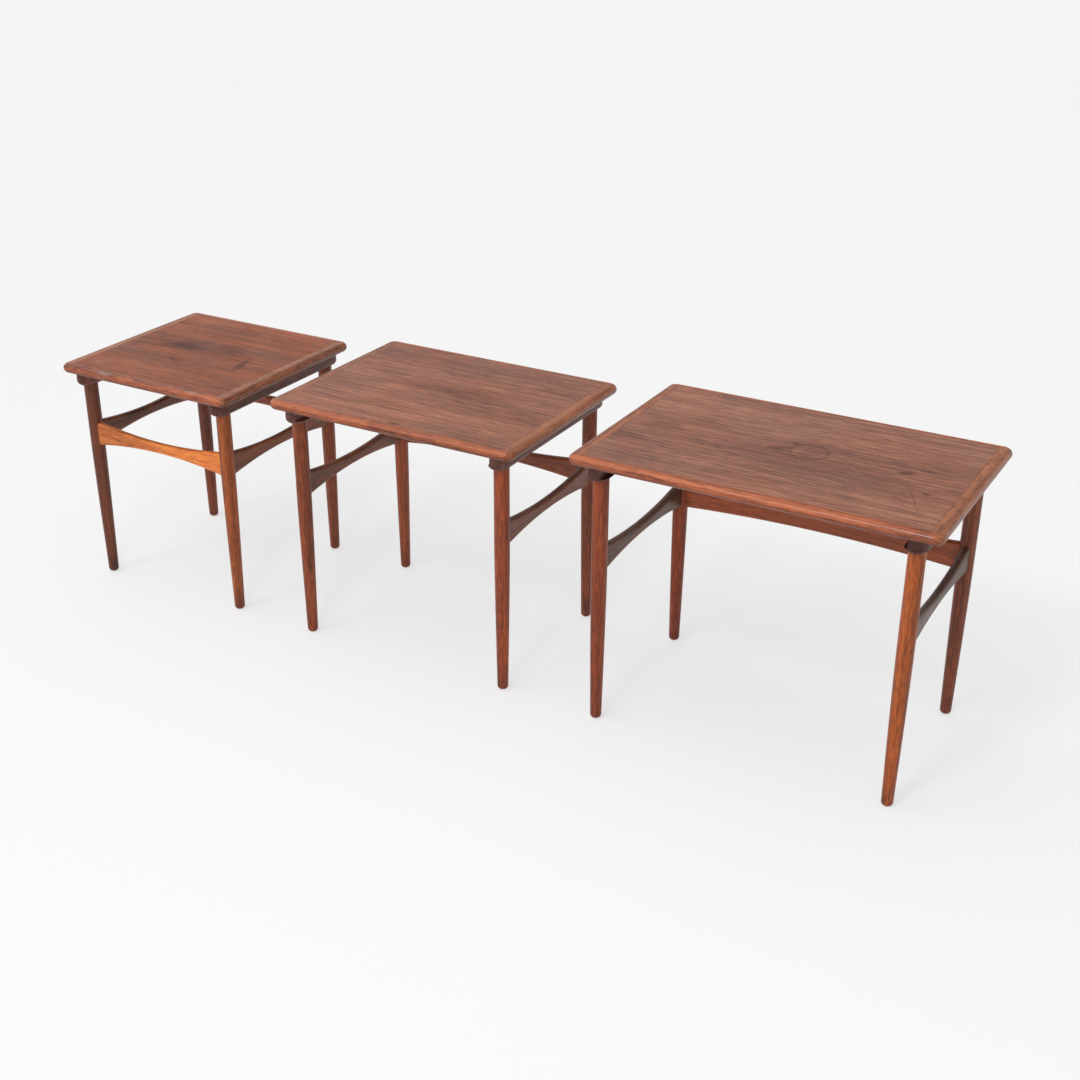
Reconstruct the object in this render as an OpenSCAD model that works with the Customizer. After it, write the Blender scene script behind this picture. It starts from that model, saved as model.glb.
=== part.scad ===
// Set of three teak nesting tables, set out side by side.
// Each table is a lipped, veneered top on two runners, four turned legs and bowed stretchers.
// The runners of the large and medium tables are rebated, and the next smaller top slides in them.
// Millimetres, +Z up, front towards -Y, origin on the floor at the middle of the row.

/* [Large table] */
// Width of the large top
large_w = 605; // [560:1:680]
// Depth of the large top, front to back
large_d = 392; // [360:1:440]
// Height of the large table
large_h = 490; // [450:1:540]

/* [Nesting] */
// Drop in height from each table to the next smaller one
height_step = 22; // [20:0.5:24]
// Difference in depth from each top to the next smaller one
depth_step = 3; // [0:0.5:10]
// Gap on each side between a top and the rebates that it slides in
slide_gap = 1; // [0.5:0.1:2]
// How far a smaller table hangs off the floor while its top lies on the runners' lips
hang = 1.5; // [0.5:0.1:2]

/* [Layout] */
// Gap between the large and the medium top
large_gap = 102; // [30:1:300]
// Gap between the medium and the small top
small_gap = 102; // [30:1:300]

/* [Tops] */
// Thickness of every top
top_t = 18; // [16:0.5:20]
// Plan radius of a top's corners
corner_r = 16; // [12:0.5:24]
// Width of the lippings on the left and right ends
end_lipping_w = 22; // [16:0.5:30]
// Width of the lippings on the front and back edges
long_lipping_w = 15; // [14:0.5:22]
// Thickness of the face and backing veneers
veneer_t = 0.8; // [0.6:0.1:1.2]
// Overhang of the large top beyond its leg centres, at the sides
large_side_overhang = 44.5; // [38:0.5:50]
// Overhang of the medium top beyond its leg centres, at the sides
medium_side_overhang = 39.5; // [34:0.5:44]
// Overhang of the small top beyond its leg centres, at the sides
small_side_overhang = 35.5; // [32:0.5:42]
// Overhang of every top beyond its leg centres, at the front and back
front_overhang = 39; // [34:0.5:46]

/* [Runners] */
// Width of a runner
runner_w = 38; // [34:0.5:42]
// Distance from the leg centres to the wall of the rebate
rebate_wall = 9; // [8.5:0.1:11]
// Thickness of the lip that carries the sliding top
lip_t = 5; // [4:0.5:7]
// Radius of the runner's lower corners
runner_corner_r = 9; // [6:0.5:12]
// Distance from the leg centre to the centre of the runner's half-round end
runner_nose = 7.5; // [4:0.5:12]

/* [Legs] */
// Radius of the leg's straight upper part
leg_r = 13.4; // [12.5:0.1:14.5]
// Radius that the taper runs down to at the floor
foot_r = 9.5; // [8.5:0.1:11]
// Height at which the taper starts
taper_start = 275; // [240:1:275]
// How the taper sets in: 1 is a straight cone, higher is a softer start
taper_power = 1.35; // [1:0.05:2]
// Rounding at the bottom of the foot
foot_round = 7; // [4:0.5:8]
// Radius of the tenon on top of the leg
leg_tenon_r = 7; // [6:0.1:7.2]
// Length of the tenon on top of the leg
leg_tenon_l = 20; // [16:1:21]

/* [Stretchers] */
// Height of the stretchers' centre line above the floor
stretcher_z = 300; // [299:1:305]
// Thickness of the stretchers
stretcher_t = 14.5; // [12:0.5:16]
// Rounding along the stretchers' long edges
stretcher_edge_r = 6; // [3:0.5:6]
// Height of a stretcher at its waist
waist_h = 20.5; // [18:0.5:24]
// Height of a stretcher where it meets the legs
end_h = 46; // [40:0.5:48]
// Height of the large back rail at its middle
rail_waist_h = 30; // [26:0.5:34]
// Height of the large back rail where it meets the legs
rail_end_h = 49; // [42:0.5:50]
// Thickness of the flat tenons on the stretchers
tenon_t = 8; // [6:0.5:9]
// Height of the flat tenons on the stretchers
tenon_h = 30; // [24:1:34]

/* [Screws] */
// Length of a runner screw
screw_l = 30; // [28:1:32]
// Radius of the screw's shank
screw_r = 2; // [1.8:0.1:2.2]
// Radius of the screw's head
screw_head_r = 4.1; // [3.8:0.1:4.5]
// Depth of the hole that sinks the head into the runner
screw_sink = 6; // [5:0.5:8]
// Distance between neighbouring screws in a runner
screw_pitch = 95; // [70:1:100]

/* [Hidden] */
$fn = 96;
TABLES = ["large", "medium", "small"];
LARGE = 0;
MEDIUM = 1;
SMALL = 2;
SIDES = [["left", -1], ["right", 1]];
ENDS = [["front", -1], ["back", 1]];
TABLE_PARTS = [
    "core", "top_veneer", "under_veneer",
    "front_lipping", "back_lipping", "left_lipping", "right_lipping",
    "left_runner", "right_runner",
    "front_left_leg", "front_right_leg", "back_left_leg", "back_right_leg",
    "left_stretcher", "right_stretcher", "back_stretcher", "screws"
];

TEAK_TOP = [0.55, 0.33, 0.24];
TEAK_LIPPING = [0.70, 0.40, 0.25];
TEAK_DARK = [0.38, 0.22, 0.17];
TEAK_LEG = [0.60, 0.32, 0.20];
TEAK_BRIGHT = [0.72, 0.38, 0.18];
BOARD = [0.78, 0.66, 0.48];
STEEL = [0.62, 0.60, 0.55];

joint_gap = 0.05;            // glue line in the mortises and round the legs
cut = 1;                     // overrun that lets a cutting solid pass a face
edge_r = top_t / 2;          // half-round edge of the tops
rebate_h = height_step - hang;
runner_h = rebate_h + lip_t;
tenon_stop = 5;              // distance from the leg's centre to the end of a flat tenon
taper_steps = 14;
screw_head_t = 2.4;
screw_point_l = 5;
slot_w = 1;
slot_depth = 1.1;
edge_facets = 3;             // bevels that round each long edge of a stretcher
mitre_reach = 2;             // how far past the corner a mitre is cut, in lipping widths

function side_overhang(t) =
    [large_side_overhang, medium_side_overhang, small_side_overhang][t];
function table_h(t) = large_h - t * height_step;
function table_d(t) = large_d - t * depth_step;
function table_w(t) = t == LARGE ? large_w : 2 * (leg_x(t - 1) - rebate_wall - slide_gap);
function leg_x(t) = table_w(t) / 2 - side_overhang(t);
function leg_y(t) = table_d(t) / 2 - front_overhang;
function shoulder_z(t) = table_h(t) - top_t - runner_h;

row_l = table_w(LARGE) + large_gap + table_w(MEDIUM) + small_gap + table_w(SMALL);
large_x = (row_l - table_w(LARGE)) / 2;
medium_x = large_x - (table_w(LARGE) + table_w(MEDIUM)) / 2 - large_gap;
small_x = medium_x - (table_w(MEDIUM) + table_w(SMALL)) / 2 - small_gap;
function table_x(t) = [large_x, medium_x, small_x][t];

// Puts its children in the place of table t, on the floor.
module at_table(t) {
    translate([table_x(t), 0, 0]) children();
}

// ---- Tops ----

// Section of a half-round edge, with its flat side reaching in to the centre of a turned corner.
module edge_section(reach) {
    intersection() {
        union() {
            translate([0, -edge_r]) square([reach, top_t]);
            translate([reach, 0]) circle(r = edge_r);
        }
        translate([0, -edge_r]) square([reach + edge_r, top_t]);
    }
}

// The whole outline of a top, as one slab with rounded corners and a half-round edge.
module top_blank(t) {
    w = table_w(t);
    d = table_d(t);
    straight_w = w - 2 * corner_r;
    straight_d = d - 2 * corner_r;
    translate([0, 0, table_h(t) - edge_r]) {
        cube([straight_w, d - top_t, top_t], center = true);
        cube([w - top_t, straight_d, top_t], center = true);
        for (s = [-1, 1]) {
            translate([0, s * (d / 2 - edge_r), 0])
                rotate([0, 90, 0]) cylinder(h = straight_w, r = edge_r, center = true);
            translate([s * (w / 2 - edge_r), 0, 0])
                rotate([90, 0, 0]) cylinder(h = straight_d, r = edge_r, center = true);
        }
        for (sx = [-1, 1]) for (sy = [-1, 1])
            translate([sx * straight_w / 2, sy * straight_d / 2, 0])
                rotate_extrude() edge_section(corner_r - edge_r);
    }
}

// Plan of the front lipping's share of the top, out past the edge along both mitres.
module long_share(t) {
    inner_x = table_w(t) / 2 - end_lipping_w;
    inner_y = table_d(t) / 2 - long_lipping_w;
    outer_x = inner_x + mitre_reach * end_lipping_w;
    outer_y = inner_y + mitre_reach * long_lipping_w;
    polygon([[-outer_x, -outer_y], [outer_x, -outer_y], [inner_x, -inner_y], [-inner_x, -inner_y]]);
}

// Plan of the right lipping's share of the top.
module end_share(t) {
    inner_x = table_w(t) / 2 - end_lipping_w;
    inner_y = table_d(t) / 2 - long_lipping_w;
    outer_x = inner_x + mitre_reach * end_lipping_w;
    outer_y = inner_y + mitre_reach * long_lipping_w;
    polygon([[inner_x, -inner_y], [outer_x, -outer_y], [outer_x, outer_y], [inner_x, inner_y]]);
}

module share_block(t) {
    translate([0, 0, table_h(t) - top_t - cut]) linear_extrude(top_t + 2 * cut) children();
}

// Lipping along the front (end = -1) or back (end = 1) edge, mitred at both ends.
module long_lipping(t, end) {
    color(TEAK_LIPPING) at_table(t) intersection() {
        top_blank(t);
        share_block(t) mirror([0, end > 0 ? 1 : 0]) long_share(t);
    }
}

// Lipping along the left (side = -1) or right (side = 1) end, mitred at both ends.
module end_lipping(t, side) {
    color(TEAK_LIPPING) at_table(t) intersection() {
        top_blank(t);
        share_block(t) mirror([side < 0 ? 1 : 0, 0]) end_share(t);
    }
}

// Flat sheet that fills the frame of lippings, from height z up.
module inner_sheet(t, z, thickness) {
    w = table_w(t) - 2 * end_lipping_w;
    d = table_d(t) - 2 * long_lipping_w;
    translate([-w / 2, -d / 2, z]) cube([w, d, thickness]);
}

// Laminated board inside the top.
module core(t) {
    color(BOARD) at_table(t) difference() {
        inner_sheet(t, table_h(t) - top_t + veneer_t, top_t - 2 * veneer_t);
        screw_places(t) screw_shape(joint_gap);
    }
}

// Face veneer, with its grain along the table's width.
module top_veneer(t) {
    color(TEAK_TOP) at_table(t) inner_sheet(t, table_h(t) - veneer_t, veneer_t);
}

// Backing veneer, pierced by the runner screws.
module under_veneer(t) {
    color(TEAK_DARK) at_table(t) difference() {
        inner_sheet(t, table_h(t) - top_t, veneer_t);
        screw_places(t) screw_shape(joint_gap);
    }
}

// ---- Runners ----

// Section of a runner seen from the front, with 0 at the leg's centre and on the underside.
module runner_section() {
    half = runner_w / 2;
    flat = half - runner_corner_r;
    translate([-half, runner_corner_r]) square([runner_w, runner_h - runner_corner_r]);
    translate([-flat, 0]) square([2 * flat, runner_h / 2]);
    for (s = [-1, 1]) translate([s * flat, runner_corner_r]) circle(r = runner_corner_r);
}

// Runner lying along Y, half-round in plan at both ends, with +X away from the table's middle.
module runner_blank(reach, rebated) {
    half = runner_w / 2;
    difference() {
        union() {
            translate([0, reach, 0]) rotate([90, 0, 0]) linear_extrude(2 * reach) runner_section();
            for (turn = [0, 180])
                rotate([0, 0, turn]) translate([0, reach, 0]) rotate_extrude(angle = 180)
                    intersection() {
                        runner_section();
                        square([half, runner_h]);
                    }
        }
        if (rebated)
            translate([-half - cut, -reach - half - cut, lip_t])
                cube([half - rebate_wall + cut, 2 * (reach + half + cut), runner_h]);
    }
}

// Runner under the left (side = -1) or right (side = 1) end of a top.
// It carries two legs, and on the larger tables its rebate guides the next smaller top.
module runner(t, side) {
    color(TEAK_DARK) at_table(t) difference() {
        translate([side * leg_x(t), 0, shoulder_z(t)])
            mirror([side < 0 ? 1 : 0, 0, 0]) runner_blank(leg_y(t) + runner_nose, t != SMALL);
        for (end = [-1, 1])
            translate([side * leg_x(t), end * leg_y(t), shoulder_z(t) - cut])
                cylinder(h = leg_tenon_l + joint_gap + cut, r = leg_tenon_r + joint_gap);
        screw_places(t) {
            screw_shape(joint_gap);
            translate([0, 0, -cut]) cylinder(h = screw_sink + cut, r = screw_head_r + 0.4);
        }
    }
}

// ---- Legs ----

function leg_radius(z) =
    z >= taper_start ? leg_r : leg_r - (leg_r - foot_r) * pow(1 - z / taper_start, taper_power);

// Turned leg, straight above and tapering to a small rounded foot, with a round tenon on top.
module turned_leg(shoulder) {
    foot_edge = leg_radius(foot_round);
    taper = [for (i = [0 : taper_steps])
        let (z = foot_round + (taper_start - foot_round) * i / taper_steps)
        [leg_radius(z), z]];
    rotate_extrude() {
        polygon(concat([[0, foot_round]], taper, [[leg_r, shoulder], [0, shoulder]]));
        intersection() {
            union() {
                translate([foot_edge - foot_round, foot_round]) circle(r = foot_round);
                square([foot_edge - foot_round, 2 * foot_round]);
            }
            square([foot_edge, foot_round + cut / 2]);
        }
    }
    cylinder(h = shoulder + leg_tenon_l, r = leg_tenon_r);
}

// Flat mortise, cut from the leg's surface towards its centre, along +X.
module mortise() {
    inner = tenon_stop - joint_gap;
    translate([inner, -tenon_t / 2 - joint_gap, stretcher_z - tenon_h / 2 - joint_gap])
        cube([leg_r - inner + cut, tenon_t + 2 * joint_gap, tenon_h + 2 * joint_gap]);
}

// Leg at the left or right (side) and front or back (end) of table t.
module leg(t, side, end) {
    has_cross_stretcher = end > 0 || t == SMALL;
    color(TEAK_LEG) at_table(t) translate([side * leg_x(t), end * leg_y(t), 0]) difference() {
        turned_leg(shoulder_z(t));
        rotate([0, 0, -end * 90]) mortise();
        if (has_cross_stretcher)
            rotate([0, 0, side > 0 ? 180 : 0]) mortise();
    }
}

// ---- Stretchers ----

// Piece of a ring, hanging below its centre, whose inner edge at radius bow_r is rounded.
// It is one long edge of a bowed stretcher, and stays inside half_l to the left and right.
module bowed_edge(bow_r, reach, half_l) {
    flat = stretcher_t / 2 - stretcher_edge_r;
    half_angle = asin(half_l / (bow_r + reach / 2));
    edge = [for (i = [0 : edge_facets])
        let (a = 90 * i / edge_facets)
        [bow_r + stretcher_edge_r * (1 - cos(a)), flat + stretcher_edge_r * sin(a)]];
    outer = [[bow_r + reach, stretcher_t / 2]];
    upper = concat(edge, outer);
    lower = [for (i = [len(upper) - 1 : -1 : 0]) [upper[i][0], -upper[i][1]]];
    rotate([90, 0, 0]) rotate([0, 0, -90 - half_angle])
        rotate_extrude(angle = 2 * half_angle, $fn = 720) polygon(concat(upper, lower));
}

// Stretcher between two legs whose centres are span apart: low at the waist, high at the legs.
module stretcher(span, waist, end) {
    half = span / 2 - leg_r;
    sag = (end - waist) / 2;
    bow_r = (half * half + sag * sag) / (2 * sag);
    tenon_l = span - 2 * tenon_stop;
    difference() {
        intersection() {
            translate([0, 0, bow_r + waist / 2]) bowed_edge(bow_r, 2 * end, span / 2);
            mirror([0, 0, 1]) translate([0, 0, bow_r + waist / 2]) bowed_edge(bow_r, 2 * end, span / 2);
        }
        for (s = [-1, 1])
            translate([s * span / 2, 0, -end])
                cylinder(h = 2 * end, r = leg_r + joint_gap);
    }
    for (s = [-1, 1])
        translate([s * (half + (tenon_l / 2 - half) / 2 - cut), 0, 0])
            cube([tenon_l / 2 - half + 2 * cut, tenon_t, tenon_h], center = true);
}

// Stretcher from the front leg to the back leg, on the left (side = -1) or right (side = 1).
module side_stretcher(t, side) {
    color(TEAK_DARK) at_table(t) translate([side * leg_x(t), 0, stretcher_z])
        rotate([0, 0, 90]) stretcher(2 * leg_y(t), waist_h, end_h);
}

// Stretcher across the front (end = -1) or back (end = 1), deeper on the large table.
module cross_stretcher(t, end) {
    waist = t == LARGE ? rail_waist_h : waist_h;
    at_legs = t == LARGE ? rail_end_h : end_h;
    color(end < 0 ? TEAK_BRIGHT : TEAK_LEG) at_table(t) translate([0, end * leg_y(t), stretcher_z])
        stretcher(2 * leg_x(t), waist, at_legs);
}

// ---- Screws ----

// Countersunk wood screw standing on its head at z = screw_sink, grown by gap all round.
module screw_shape(gap) {
    tip_z = screw_sink + screw_l;
    rotate_extrude() polygon([
        [0, screw_sink - gap],
        [screw_head_r + gap, screw_sink - gap],
        [screw_r + gap, screw_sink + screw_head_t],
        [screw_r + gap, tip_z - screw_point_l],
        [0, tip_z + gap]
    ]);
}

// Puts its children at every runner screw of table t, with z = 0 at the runner's underside.
module screw_places(t) {
    for (side = [-1, 1]) for (i = [-1 : 1])
        translate([side * leg_x(t), i * screw_pitch, shoulder_z(t)]) children();
}

// The slotted screws that hold both runners to the top.
module screws(t) {
    color(STEEL) at_table(t) screw_places(t) difference() {
        screw_shape(0);
        translate([-screw_head_r - cut, -slot_w / 2, screw_sink - cut])
            cube([2 * (screw_head_r + cut), slot_w, slot_depth + cut]);
    }
}

for (t = [LARGE, MEDIUM, SMALL]) {
    core(t);
    top_veneer(t);
    under_veneer(t);
    for (end = ENDS) {
        long_lipping(t, end[1]);
    }
    for (side = SIDES) {
        end_lipping(t, side[1]);
        runner(t, side[1]);
        side_stretcher(t, side[1]);
        for (end = ENDS) {
            leg(t, side[1], end[1]);
        }
    }
    cross_stretcher(t, 1);
    screws(t);
}
cross_stretcher(SMALL, -1);  // small_front_stretcher
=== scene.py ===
"""Looks for the set of three teak nesting tables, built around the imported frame."""

import math

import bmesh
import bpy
from mathutils import Matrix, Vector


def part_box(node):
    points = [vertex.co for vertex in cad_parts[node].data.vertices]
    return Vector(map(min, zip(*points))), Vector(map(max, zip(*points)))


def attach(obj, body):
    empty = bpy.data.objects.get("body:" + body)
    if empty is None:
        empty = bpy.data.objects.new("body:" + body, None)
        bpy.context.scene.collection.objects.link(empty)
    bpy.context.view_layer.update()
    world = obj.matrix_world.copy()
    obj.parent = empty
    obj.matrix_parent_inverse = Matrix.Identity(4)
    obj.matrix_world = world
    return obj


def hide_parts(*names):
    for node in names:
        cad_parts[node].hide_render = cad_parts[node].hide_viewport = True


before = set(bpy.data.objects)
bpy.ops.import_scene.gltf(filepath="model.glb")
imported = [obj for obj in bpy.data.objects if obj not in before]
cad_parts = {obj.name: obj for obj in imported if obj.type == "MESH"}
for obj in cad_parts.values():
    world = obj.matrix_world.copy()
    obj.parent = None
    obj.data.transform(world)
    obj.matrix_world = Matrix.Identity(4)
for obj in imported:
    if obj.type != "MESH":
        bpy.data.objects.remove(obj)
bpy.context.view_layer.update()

TABLES = ("large", "medium", "small")
SIDES = (("left", -1), ("right", 1))
ENDS = (("front", -1), ("back", 1))

# Sizes that the CAD solids have too, in metres.
EDGE_R = 0.009
CORNER_R = 0.016
RUNNER_CORNER_R = 0.009
REBATE_WALL = 0.009
LIP_T = 0.005
LEG_R = 0.0134
FOOT_R = 0.0095
TAPER_START = 0.275
TAPER_POWER = 1.35
FOOT_ROUND = 0.007
TENON_R = 0.007
TENON_L = 0.020
STRETCHER_EDGE_R = 0.006
JOINT_GAP = 0.00005
FLAT_TENON_T = 0.008
FLAT_TENON_H = 0.030
TENON_STOP = 0.005
SCREW_PITCH = 0.095
SCREW_SINK = 0.006
SCREW_HOLE = (
    (0.0045, -0.001),
    (0.0045, SCREW_SINK - JOINT_GAP),
    (0.00415, SCREW_SINK - JOINT_GAP + 0.00001),
    (0.00205, SCREW_SINK + 0.0024),
    (0.00205, 0.0256),
)
RUNNER_HALF = 0.019
SIDE_WAIST = 0.0205  # height of a bowed stretcher at its middle
RAIL_WAIST = 0.030  # the same for the large table's back rail

# Sizes of the looks alone, in metres.
SEAM = 0.00022  # eased arris on each side of a glued seam
ARRIS_R = 0.0006  # easing of a runner's other arrises
OVERCUT = 0.002  # how far a cutter, or a tenon's root, overlaps its solid
WELD = 2e-6  # vertices closer than this are merged after a cut
LIPPING_DEPTH = 0.045  # how much of a top's edge a lipping is cut from
LIPPING_PITCH = 0.012  # vertex spacing along a lipping
LEG_PITCH = 0.008  # vertex spacing down a leg


# ---------------------------------------------------------------- camera


CAMERA_ANGLES = (-29.52, 25.66, -0.311)  # yaw, pitch and roll, in degrees
CAMERA_AT = (1.3318, -2.1928, 1.4327)
CAMERA_LENS = 52.087  # millimetres, on a sensor 36 wide


def make_camera():
    yaw, pitch, roll = (math.radians(a) for a in CAMERA_ANGLES)
    forward = Vector(
        (
            math.sin(yaw) * math.cos(pitch),
            math.cos(yaw) * math.cos(pitch),
            -math.sin(pitch),
        )
    )
    level = Vector((math.cos(yaw), -math.sin(yaw), 0))
    down = forward.cross(level)
    right = math.cos(roll) * level + math.sin(roll) * down
    down = -math.sin(roll) * level + math.cos(roll) * down
    m = Matrix((right, -down, -forward)).transposed().to_4x4()
    m.translation = Vector(CAMERA_AT)
    data = bpy.data.cameras.new("camera")
    data.sensor_width = 36
    data.sensor_fit = "HORIZONTAL"
    data.lens = CAMERA_LENS
    data.clip_end = 60
    cam = bpy.data.objects.new("camera", data)
    cam.matrix_world = m
    bpy.context.scene.collection.objects.link(cam)
    bpy.context.scene.camera = cam


make_camera()


# ---------------------------------------------------------------- shader helpers


class Nodes:
    """Short calls for building one material's node tree."""

    def __init__(self, material):
        material.use_nodes = True
        self.tree = material.node_tree
        self.tree.nodes.clear()

    def add(self, kind, **settings):
        node = self.tree.nodes.new(kind)
        for key, value in settings.items():
            setattr(node, key, value)
        return node

    def put(self, socket, value):
        if isinstance(value, bpy.types.NodeSocket):
            self.tree.links.new(value, socket)
        elif value is not None:
            socket.default_value = value

    def math(self, operation, a, b=None, c=None, clamp=False):
        node = self.add("ShaderNodeMath", operation=operation, use_clamp=clamp)
        for socket, value in zip(node.inputs, (a, b, c)):
            self.put(socket, value)
        return node.outputs[0]

    def vector(self, operation, a, b=None):
        node = self.add("ShaderNodeVectorMath", operation=operation)
        self.put(node.inputs[0], a)
        self.put(node.inputs[1], b)
        return node.outputs["Value" if operation in ("LENGTH", "DOT_PRODUCT") else "Vector"]

    def remap(self, value, low, high, to_low=0.0, to_high=1.0, smooth=True):
        node = self.add(
            "ShaderNodeMapRange",
            interpolation_type="SMOOTHSTEP" if smooth else "LINEAR",
            clamp=True,
        )
        for name, v in (
            ("Value", value),
            ("From Min", low),
            ("From Max", high),
            ("To Min", to_low),
            ("To Max", to_high),
        ):
            self.put(node.inputs[name], v)
        return node.outputs[0]

    def mix(self, factor, a, b, blend="MIX"):
        node = self.add("ShaderNodeMix", data_type="RGBA", blend_type=blend)
        node.clamp_factor = True
        self.put(node.inputs[0], factor)
        self.put(node.inputs[6], a)
        self.put(node.inputs[7], b)
        return node.outputs[2]

    def noise(self, vector, scale, detail=3.0, rough=0.5, distortion=0.0):
        node = self.add("ShaderNodeTexNoise")
        self.put(node.inputs["Vector"], vector)
        node.inputs["Scale"].default_value = scale
        node.inputs["Detail"].default_value = detail
        node.inputs["Roughness"].default_value = rough
        node.inputs["Distortion"].default_value = distortion
        return node.outputs["Fac"]

    def stretch(self, vector, scale, offset=(0, 0, 0)):
        node = self.add("ShaderNodeMapping", vector_type="POINT")
        self.put(node.inputs["Vector"], vector)
        node.inputs["Scale"].default_value = scale
        node.inputs["Location"].default_value = offset
        return node.outputs[0]

    def patch(self, vector, centre, radii, angle=0.0):
        """Distance from an ellipse's centre, with 1 on its outline."""
        node = self.add("ShaderNodeMapping", vector_type="TEXTURE")
        self.put(node.inputs["Vector"], vector)
        node.inputs["Location"].default_value = centre
        node.inputs["Rotation"].default_value = (0, 0, math.radians(angle))
        node.inputs["Scale"].default_value = (radii[0], radii[1], 1)
        return self.vector("LENGTH", node.outputs[0])


def rgba(colour, gain=1.0):
    return (*(c * gain for c in colour), 1)


def lin(r, g, b):
    """Linear colour of an 8-bit display colour."""

    def one(c):
        c /= 255
        return c / 12.92 if c <= 0.04045 else ((c + 0.055) / 1.055) ** 2.4

    return (one(r), one(g), one(b))


# ---------------------------------------------------------------- teak

# What the wood's colour is multiplied by, channel by channel.
PATINA_TINT = (0.62, 0.52, 0.50, 1)
WARM_TINT = (1.18, 0.96, 0.84, 1)
PORE_TINT = (0.38, 0.32, 0.30, 1)
END_GRAIN_TINT = (0.50, 0.43, 0.42, 1)
# painted shade, laid on surfaces that face down
PAINTED_UNDERSIDE_SHADE = (0.42, 0.34, 0.32, 1)
DIRT_TINT = (0.40, 0.33, 0.32, 1)
DENT_TINT = (0.40, 0.30, 0.28, 1)


def teak(
    name,
    axis,
    light,
    mid,
    dark,
    seed=0.0,
    heart=(0.02, 0.35),
    ring=0.0042,
    figure=0.010,
    streak=0.5,
    flecks=1.8,
    fleck_w=0.0028,
    fleck_l=7,
    fines=0.8,
    rough=0.42,
    patina=0.35,
    marks=(),
    foot_dirt=False,
    polish=0.06,
    painted_shade_below=0.0,
):
    """Oiled teak whose grain runs along axis (0, 1 or 2).

    heart is where the log's centre lies, in metres across the grain, ring the mean ring width,
    and figure how far the rings wander. streak, flecks and fines are how strongly long streaks,
    short flecks (fleck_w wide and fleck_l times as long) and fine fibres show. patina and polish
    are how far wear has changed colour and gloss. marks are stains, laid over in order.
    """
    material = bpy.data.materials.new(name)
    n = Nodes(material)
    coords = n.add("ShaderNodeTexCoord")
    where = coords.outputs["Object"]
    split = n.add("ShaderNodeSeparateXYZ")
    n.put(split.inputs[0], where)
    across = [i for i in range(3) if i != axis]
    turned = n.add("ShaderNodeCombineXYZ")
    for socket, i in zip(turned.inputs, (axis, across[0], across[1])):
        n.put(socket, split.outputs[i])
    grain = n.vector("ADD", turned.outputs[0], (seed, seed * 0.37, seed * 0.61))

    # growth rings: shells round the heart that wander slowly along the board
    wander = n.noise(n.stretch(grain, (1.6, 9, 9)), 1.0, 2.0, 0.45)
    wander = n.math("MULTIPLY", n.math("SUBTRACT", wander, 0.5), figure * 6)
    local = n.add("ShaderNodeSeparateXYZ")
    n.put(local.inputs[0], turned.outputs[0])
    u = n.math("SUBTRACT", local.outputs[1], heart[0])
    v = n.math("SUBTRACT", local.outputs[2], heart[1])
    radius = n.math("SQRT", n.math("ADD", n.math("MULTIPLY", u, u), n.math("MULTIPLY", v, v)))
    radius = n.math("ADD", radius, wander)
    rings = n.add("ShaderNodeCombineXYZ")
    n.put(rings.inputs[0], n.math("MULTIPLY", radius, 1 / ring))
    ring_value = n.noise(rings.outputs[0], 1.0, 2.0, 0.6)
    ring_value = n.remap(ring_value, 0.30, 0.70)

    # long fibres, fine fibres and the short dark pores of teak
    fibre = n.noise(n.stretch(grain, (3.2, 150, 150)), 1.0, 4.0, 0.62, 0.25)
    fine = n.noise(n.stretch(grain, (14, 620, 620)), 1.0, 3.0, 0.6)
    pores = n.noise(n.stretch(grain, (75, 1500, 1500)), 1.0, 1.0, 0.5)
    pores = n.remap(pores, 0.60, 0.72)
    pores = n.math("MULTIPLY", pores, n.remap(ring_value, 0.2, 0.9, 0.35, 1.0))
    across_fleck = 1 / fleck_w
    fleck = n.stretch(grain, (across_fleck / fleck_l, across_fleck, across_fleck), (4, 8, 3))
    fleck = n.noise(fleck, 1.0, 2.0, 0.55)
    broad = n.noise(n.stretch(grain, (2.0, 16, 16)), 1.0, 3.0, 0.55)
    patches = n.noise(n.stretch(grain, (5.5, 8, 8), (3, 1, 7)), 1.0, 3.0, 0.6, 0.4)

    tone = n.math("MULTIPLY", ring_value, 0.30)
    tone = n.math("ADD", tone, n.math("MULTIPLY", n.remap(fibre, 0.28, 0.72), streak))
    tone = n.math("ADD", tone, n.math("MULTIPLY", n.remap(broad, 0.30, 0.70), 0.42))
    tone = n.math("ADD", tone, n.math("MULTIPLY", n.math("SUBTRACT", fine, 0.5), fines))
    tone = n.math("ADD", tone, n.math("MULTIPLY", n.math("SUBTRACT", fleck, 0.5), flecks))
    ramp = n.add("ShaderNodeValToRGB")
    total = 0.72 + streak
    n.put(ramp.inputs[0], n.math("MULTIPLY", tone, 1 / total, clamp=True))
    stops = ramp.color_ramp.elements
    stops[0].position, stops[0].color = 0.10, rgba(light)
    stops[1].position, stops[1].color = 0.92, rgba(dark)
    middle = stops.new(0.50)
    middle.color = rgba(mid)
    colour = ramp.outputs[0]

    # hand-worn patina: slow changes of depth and warmth
    colour = n.mix(n.remap(patches, 0.35, 0.70, 0.0, patina), colour, PATINA_TINT, "MULTIPLY")
    warm = n.noise(n.stretch(grain, (3.0, 5, 5), (9, 4, 2)), 1.0, 2.0, 0.5)
    colour = n.mix(n.remap(warm, 0.45, 0.75, 0.0, 0.35), colour, WARM_TINT, "MULTIPLY")
    colour = n.mix(n.math("MULTIPLY", pores, 0.7), colour, PORE_TINT, "MULTIPLY")

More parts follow.
